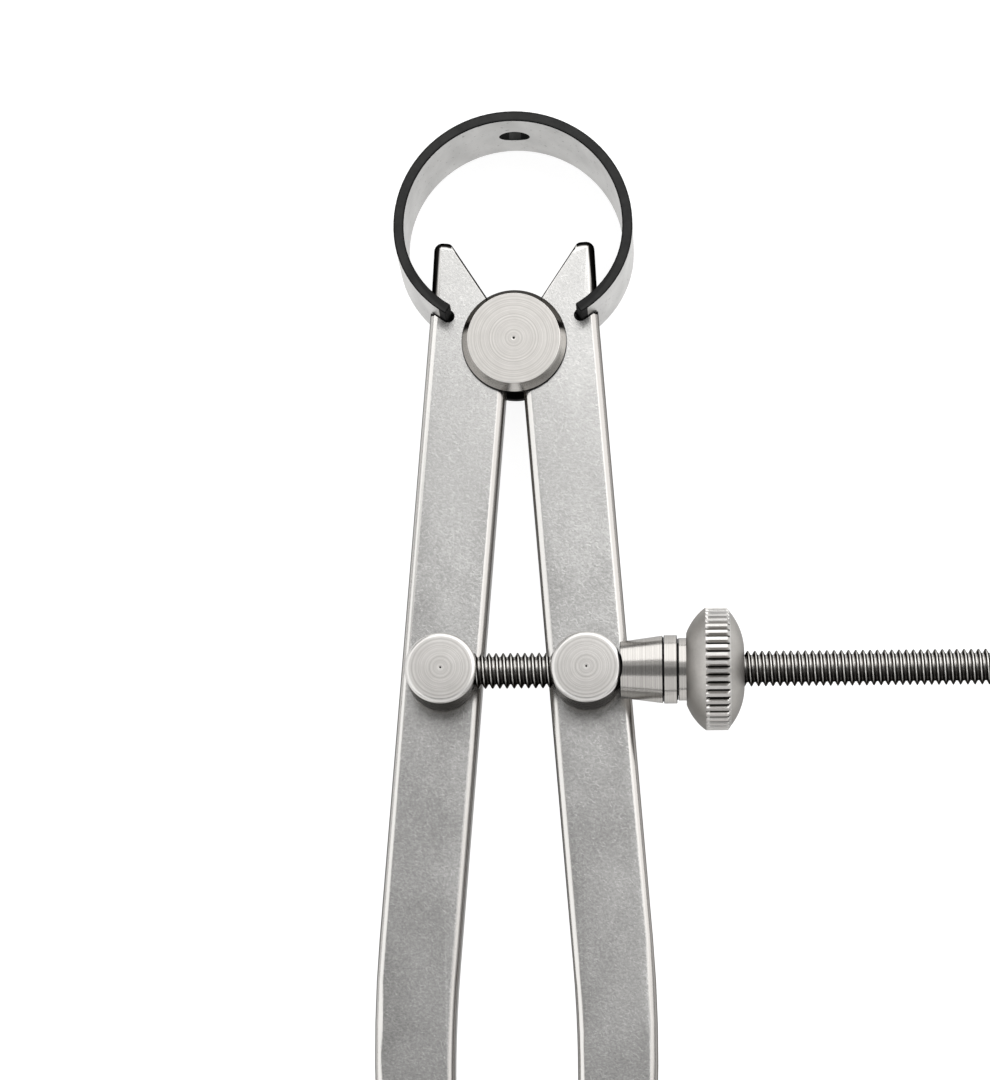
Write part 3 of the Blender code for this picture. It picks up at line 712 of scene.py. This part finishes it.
rings = {
    "nut_cone": {
        "name": "nutCone",
        "body": "right_post",
        "end": 8.46,
        "profile": [(3.60, 8.57), (3.60, 8.45), (3.73, 8.45), (3.77, 8.41), (3.14, 3.80), (3.06, 3.72),
                    (2.15, 3.72), (2.15, 5.5), (2.30, 5.5), (3.05, 8.57), (3.60, 8.57)],
    },
    "nut_collar": {
        "name": "nutCollar",
        "body": "nut",
        "end": 10.07,
        "profile": [(3.40, 10.18), (3.40, 10.06), (3.76, 10.06), (3.82, 10.00), (3.82, 8.66),
                    (3.76, 8.60), (3.08, 8.60), (3.08, 10.18), (3.40, 10.18)],
    },
}
ringCut = {
    "finishes": ("barrel", "blackOxideAndShade"),
    "steps": 128,
    "inside": 3.05,
    "endLean": 0.3,
    "saddle": 4.04,    # radius round the post
    "slack": 1e-6,
}


def ringFinish(face):
    middle = face.calc_center_median()
    # End faces, bores and spigots are painted black: painted shade at the joints
    dark = (middle.z > ring["end"] or middle.xy.length < ringCut["inside"]
            or abs(face.normal.z) > ringCut["endLean"])
    return "blackOxideAndShade" if dark else "barrel"


for node, ring in rings.items():
    bm = turn(ring["profile"], ringCut["steps"], 0.0)
    paint(bm, ringCut["finishes"], ringFinish)
    layAlongScrew(bm, axes["rightPost"][0])
    piece = addPiece(ring["name"], toMesh(bm, ring["name"]), ringCut["finishes"])
    if node == "nut_cone":
        saddle, reach = ringCut["saddle"], post["drillReach"]
        bm = turn([(0, reach), (saddle, reach), (saddle, -reach), (0, -reach)], ringCut["steps"], 0.0)
        bmesh.ops.translate(bm, verts=bm.verts, vec=(*axes["rightPost"], axes["screwHeight"]))
        drill(piece, bm)
        # The hollow round the post is painted black: painted shade
        centre = Vector(axes["rightPost"]) * mm
        for face in piece.data.polygons:
            if (face.center.xy - centre).length < saddle * mm + ringCut["slack"]:
                face.material_index = ringCut["finishes"].index("blackOxideAndShade")
    keepFlats(piece)
    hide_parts(node)
    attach(piece, ring["body"])


# Knurled knob: domed both sides, straight flutes cut round its land, a turned neck

knob = {
    "finishes": ("blasted", "barrel", "land", "fluteShade", "blackOxideAndShade", "deepFluteShade"),
    "start": 11.09,
    "neckStart": 10.21,
    "neck": 3.5,
    "radius": 6.83,
    "bore": 2.15,
    "nutBore": 3.08,
    "groove": (12.74, 13.54, 3.50),   # start, end and radius of the groove for the wire ring
    "boreEnd": 15.34,
    "faceRadius": 4.0,
    "leftArc": (6.48, 21.0, 53.0, 10),    # radius, first and last angle, steps
    "rightArc": (7.14, 52.0, 86.0, 12),
    "landStart": 2.15,
    "landEnd": 4.57,
    "landSteps": 12,
    "chamferEnd": (6.27, 4.95),
    "chamferSteps": 3,
    "landMargin": (0.2, 0.05),        # in radius and along, so that the flutes end clear of the domes
    "teeth": 46,
    "linesPerTooth": 10,
    "fluteDepth": 0.50,
    "fluteHalf": 0.30,                # share of the tooth spacing
    "fluteFade": 0.30,
    "fluteRound": 0.8,                # 1 is a plain V, less is rounder at its edges
    "fluteShadeDepth": 0.37,                # depth from which a flute is painted dark as shade
    "fluteShadeDepthLow": 0.28,             # the same on the feet's side, where the painted shade reaches shallower
    "fluteTip": 0.06,                 # the same on the chamfer
    "fullyShadedBelow": 4.0,                # mm below the axis, on the feet's side
    "chamferFall": 1.47,              # mm of radius a mm along
    "fluteShadedBelow": 4.9,                # below this the flutes take the darker painted shade, so only near the knob's top are they lighter
    "edge": 0.08,
    "neckSlack": 1e-3,
    "neckEndLean": -0.3,
    "sharp": 32,
}


# Points on an arc between two angles, as (radius, place) from its first point
def arcPoints(first, arc, towardsAxis):
    radius, startAngle, endAngle, count = arc[0], math.radians(arc[1]), math.radians(arc[2]), arc[3]
    points = []
    for step in range(count + 1):
        angle = startAngle + (endAngle - startAngle) * step / count
        if towardsAxis:
            points.append((first[0] + radius * (math.cos(angle) - math.cos(startAngle)),
                           first[1] + radius * (math.sin(angle) - math.sin(startAngle))))
        else:
            points.append((first[0] + radius * (math.sin(angle) - math.sin(startAngle)),
                           first[1] + radius * (math.cos(startAngle) - math.cos(angle))))
    return points


def knobProfile():
    start, radius = knob["start"], knob["radius"]
    endRadius, endPlace = knob["chamferEnd"]
    left = arcPoints((knob["faceRadius"], start), knob["leftArc"], False)
    right = arcPoints((endRadius, start + endPlace), knob["rightArc"], True)
    land = [(radius, start + knob["landStart"]
             + (knob["landEnd"] - knob["landStart"]) * step / knob["landSteps"])
            for step in range(knob["landSteps"] + 1)]
    chamfer = [(radius + (endRadius - radius) * step / knob["chamferSteps"],
                start + knob["landEnd"] + (endPlace - knob["landEnd"]) * step / knob["chamferSteps"])
               for step in range(1, knob["chamferSteps"])]
    end = right[-1][1]
    grooveStart, grooveEnd, grooveRadius = knob["groove"]
    return ([(knob["nutBore"], knob["neckStart"]), (knob["neck"] - knob["edge"], knob["neckStart"]),
             (knob["neck"], knob["neckStart"] + knob["edge"]), (knob["neck"], start)]
            + left[:-1] + land + chamfer + right
            + [(knob["bore"], end), (knob["bore"], knob["boreEnd"]), (knob["nutBore"], knob["boreEnd"]),
               (knob["nutBore"], grooveEnd), (grooveRadius, grooveEnd), (grooveRadius, grooveStart),
               (knob["nutBore"], grooveStart), (knob["nutBore"], knob["neckStart"])])


# How deep a flute is at a place along the land and a share of the tooth spacing from its middle
def fluteSink(place, share):
    across = max(0.0, 1.0 - abs(share) / knob["fluteHalf"])
    run = min(1.0, max(0.0, (place - knob["start"] - knob["landStart"]) / knob["fluteFade"]))
    return knob["fluteDepth"] * (across ** knob["fluteRound"]) * (run * run * (3 - 2 * run))


def knobFinish(face):
    middle = face.calc_center_median()
    along, reach = middle.z - knob["start"], middle.xy.length
    if along < -knob["neckSlack"]:
        # The neck's end face is painted black: painted shade in the gap
        return "blackOxideAndShade" if face.normal.z < knob["neckEndLean"] else "barrel"
    if reach < landRadius or not knob["landStart"] < along < knob["chamferEnd"][1]:
        return "blasted"
    # the chamfer's own fall is counted out, so that only the flutes are painted dark as shade
    fall = max(0.0, along - knob["landEnd"]) * knob["chamferFall"]
    below = min(1.0, max(0.0, -middle.y / knob["fullyShadedBelow"]))
    dark = knob["fluteShadeDepth"] + (knob["fluteShadeDepthLow"] - knob["fluteShadeDepth"]) * below
    if reach > knob["radius"] - max(dark, fall + knob["fluteTip"]):
        return "land"
    return "deepFluteShade" if middle.y < knob["fluteShadedBelow"] else "fluteShade"


landRadius = knob["chamferEnd"][0] - knob["landMargin"][0]
landLimit = knob["chamferEnd"][1] + knob["landMargin"][1]
bm = turn(knobProfile(), knob["teeth"] * knob["linesPerTooth"], 0.0)
for vert in bm.verts:
    reach, along = vert.co.xy.length, vert.co.z - knob["start"]
    if reach < landRadius or not knob["landStart"] <= along <= landLimit:
        continue
    tooth = math.atan2(vert.co.y, vert.co.x) / (2 * math.pi) * knob["teeth"]
    sunk = knob["radius"] - fluteSink(vert.co.z, tooth - round(tooth))
    if sunk < reach:
        vert.co.xy *= sunk / reach
paint(bm, knob["finishes"], knobFinish)
layAlongScrew(bm, axes["rightPost"][0])
piece = addPiece("knurledKnob", toMesh(bm, "knurledKnob", knob["sharp"]), knob["finishes"])
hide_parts("knurled_nut")
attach(piece, "nut")


# Inside the nut: the two half nuts and the wire ring round them

for node, name, finish, slotName in (("half_nut_upper", "halfNutUpperTurned", "barrel", "turned_steel"),
                                     ("half_nut_lower", "halfNutLowerTurned", "barrel", "turned_steel"),
                                     ("nut_spring", "nutSpringWire", "strip", "spring_steel")):
    piece = dressNode(node, name, (finish,), lambda face: finish)
    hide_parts(node)
    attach(piece, "nut")
print("quick nut made")


# Camera: worked out from how the raised parts lean in the photograph

view = {
    "place": (19.66, -136.29, 550.1),
    "tilt": 11.6,       # towards the feet
    "lean": 2.225,      # to the right
    "roll": -0.11,
    "lens": 166.667,
    "sensor": 36.0,
    "clip": (0.01, 20.0),
}
tilt, lean, roll = (math.radians(view[name]) for name in ("tilt", "lean", "roll"))
back = Vector((math.sin(lean), -math.sin(tilt) * math.cos(lean), math.cos(tilt) * math.cos(lean))).normalized()
right = Vector((0.0, 1.0, 0.0)).cross(back).normalized()
up = back.cross(right)
right, up = (math.cos(roll) * right + math.sin(roll) * up, math.cos(roll) * up - math.sin(roll) * right)
lens = bpy.data.cameras.new("camera")
lens.lens = view["lens"]
lens.sensor_width = view["sensor"]
lens.clip_start, lens.clip_end = view["clip"]
camera = bpy.data.objects.new("camera", lens)
camera.matrix_world = (Matrix.Translation(Vector(view["place"]) * mm)
                       @ Matrix((right, up, back)).transposed().to_4x4())
bpy.context.scene.collection.objects.link(camera)
bpy.context.scene.camera = camera


# Studio: white floor and soft boxes round a plain grey room

studio = {
    "floorSize": 6.0,
    "floorGlow": 0.86,
    "floorPaper": "#9A9A9A",
    "room": 0.25,
    "aim": (0.0, -40.0, 0.0),
    # way it stands (degrees from X), lowest and highest tilt from overhead, distance and width in mm, radiance
    "boxes": {
        "topBox": (62.0, 16.5, 86.0, 380.0, 860.0, 1.80),
        "zenithBox": (62.0, -1.0, 16.5, 380.0, 860.0, 0.35),
        "leftBox": (180.0, 25.0, 82.0, 700.0, 1100.0, 1.22),
        "rightBox": (0.0, 16.0, 82.0, 700.0, 1100.0, 0.48),
        "feetBox": (-90.0, 33.0, 84.0, 700.0, 1100.0, 0.80),
    },
}
material = bpy.data.materials.new("whiteFloor")
material.use_nodes = True
tree = material.node_tree
tree.nodes.clear()
path = addNode(tree, "ShaderNodeLightPath")
seen = path.outputs["Is Camera Ray"]
for ray in ("Is Glossy Ray", "Is Transmission Ray"):
    seen = addNode(tree, "ShaderNodeMath", {"operation": "MAXIMUM"}, {0: seen, 1: path.outputs[ray]}).outputs[0]
paper = addNode(tree, "ShaderNodeBsdfDiffuse", None, {"Color": studio["floorPaper"]})
glow = addNode(tree, "ShaderNodeEmission", None,
               {"Color": (1.0, 1.0, 1.0, 1.0), "Strength": masked(tree, seen, studio["floorGlow"])})
both = addNode(tree, "ShaderNodeAddShader", None, {0: paper.outputs[0], 1: glow.outputs[0]})
addNode(tree, "ShaderNodeOutputMaterial", None, {"Surface": both.outputs[0]})
bm = bmesh.new()
bmesh.ops.create_grid(bm, x_segments=1, y_segments=1, size=studio["floorSize"] / 2)
bmesh.ops.translate(bm, verts=bm.verts, vec=(0.0, 0.0, axes["floor"] * mm))
mesh = bpy.data.meshes.new("floor")
bm.to_mesh(mesh)
bm.free()
floor = bpy.data.objects.new("floor", mesh)
mesh.materials.append(material)
bpy.context.scene.collection.objects.link(floor)

world = bpy.data.worlds.new("room")
bpy.context.scene.world = world
world.use_nodes = True
world.node_tree.nodes["Background"].inputs["Color"].default_value = (1.0, 1.0, 1.0, 1.0)
world.node_tree.nodes["Background"].inputs["Strength"].default_value = studio["room"]

for name, (way, low, high, distance, width, radiance) in studio["boxes"].items():
    way, tilt = math.radians(way), math.radians((low + high) / 2)
    lamp = bpy.data.lights.new(name, "AREA")
    lamp.shape = "RECTANGLE"
    lamp.size = width * mm
    lamp.size_y = 2 * distance * math.tan(math.radians(high - low) / 2) * mm
    lamp.energy = radiance * math.pi * lamp.size * lamp.size_y
    box = bpy.data.objects.new(name, lamp)
    towards = Vector((math.sin(tilt) * math.cos(way), math.sin(tilt) * math.sin(way), math.cos(tilt)))
    aim = Vector(studio["aim"]) * mm
    box.matrix_world = (Matrix.Translation(aim + towards * distance * mm)
                        @ towards.to_track_quat("Z", "Y").to_matrix().to_4x4())
    box.visible_camera = False
    bpy.context.scene.collection.objects.link(box)

bpy.context.scene.view_settings.view_transform = "Standard"
print("camera and studio set")
